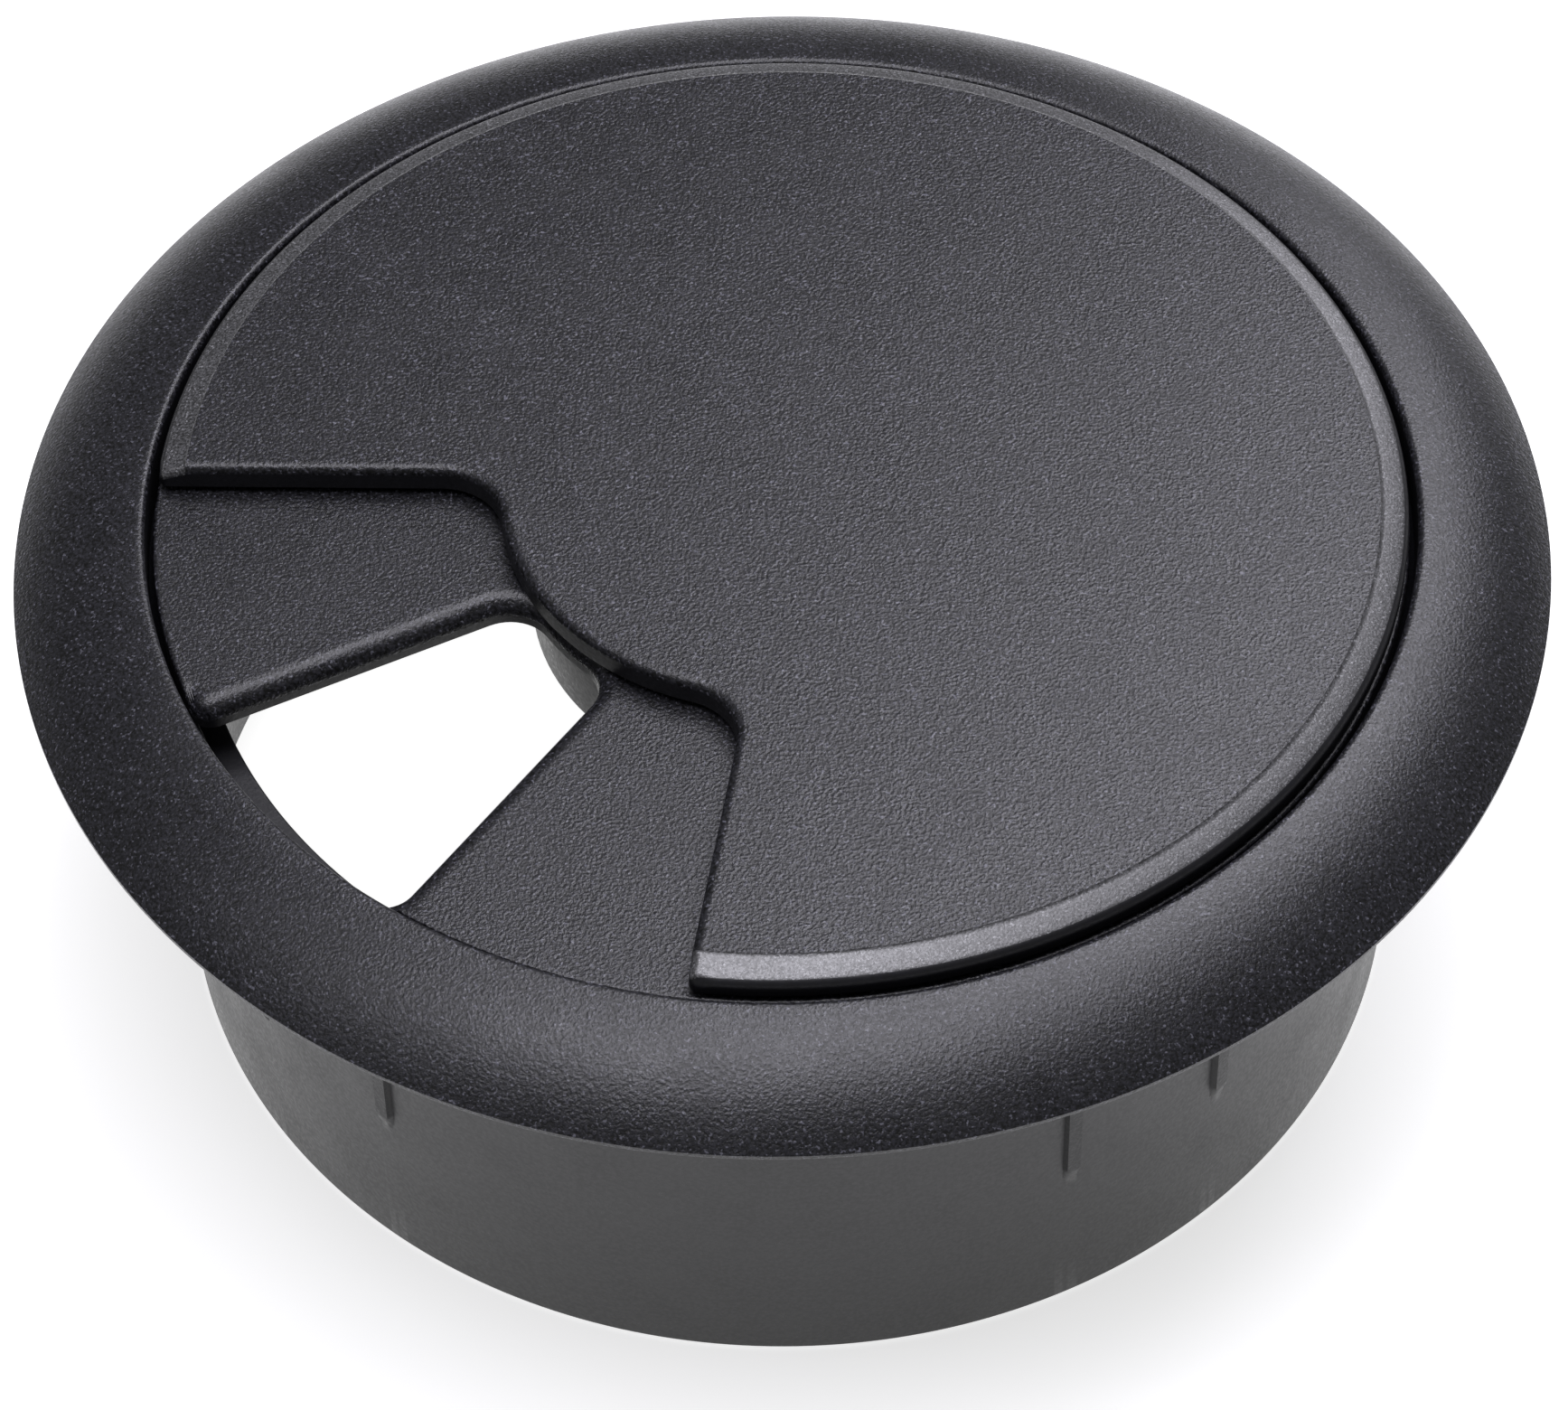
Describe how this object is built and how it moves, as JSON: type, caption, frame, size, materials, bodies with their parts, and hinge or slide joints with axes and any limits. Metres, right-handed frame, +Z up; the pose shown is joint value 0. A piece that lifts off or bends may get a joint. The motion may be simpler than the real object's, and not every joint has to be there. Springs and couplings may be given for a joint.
{
  "type": "desk grommet",
  "caption": "Round flanged desk cable grommet: a sleeve with a domed rim, and a lift-out insert of a notched cap over a rotary shutter with a cable slot.",
  "frame": {"origin": "centre of the sleeve's bottom edge", "axes": "+Z up out of the desk top along the sleeve's axis; +X to the right and +Y away from a user who sees the cable outlet at the front left"},
  "size_m": [0.072, 0.072, 0.0274],
  "materials": {
    "liner_plastic": "fine spark-eroded grain on the rim, smooth satin on the sleeve, black",
    "cap_plastic": "fine spark-eroded grain on the top field, smoother bevelled edge, black",
    "shutter_plastic": "fine spark-eroded grain on top, smooth underneath, black",
    "clip_plastic": "smooth satin, black"
  },
  "bodies": {
    "liner": {"liner": "liner_plastic"},
    "axle": {"retaining_clip": "clip_plastic"},
    "cap": {"cap": "cap_plastic"},
    "shutter": {"shutter": "shutter_plastic"}
  },
  "joints": [
    {"name": "insert_lift", "type": "slide", "parent": "liner", "child": "axle", "axis": [0, 0, 1], "range_m": [0, 0.03]},
    {"name": "cap_turn", "type": "hinge", "parent": "axle", "child": "cap", "pos_m": [0, 0, 0.026], "axis": [0, 0, 1], "continuous": true},
    {"name": "shutter_turn", "type": "hinge", "parent": "cap", "child": "shutter", "pos_m": [0, 0, 0.025], "axis": [0, 0, 1], "range_deg": [-60, 60]}
  ]
}
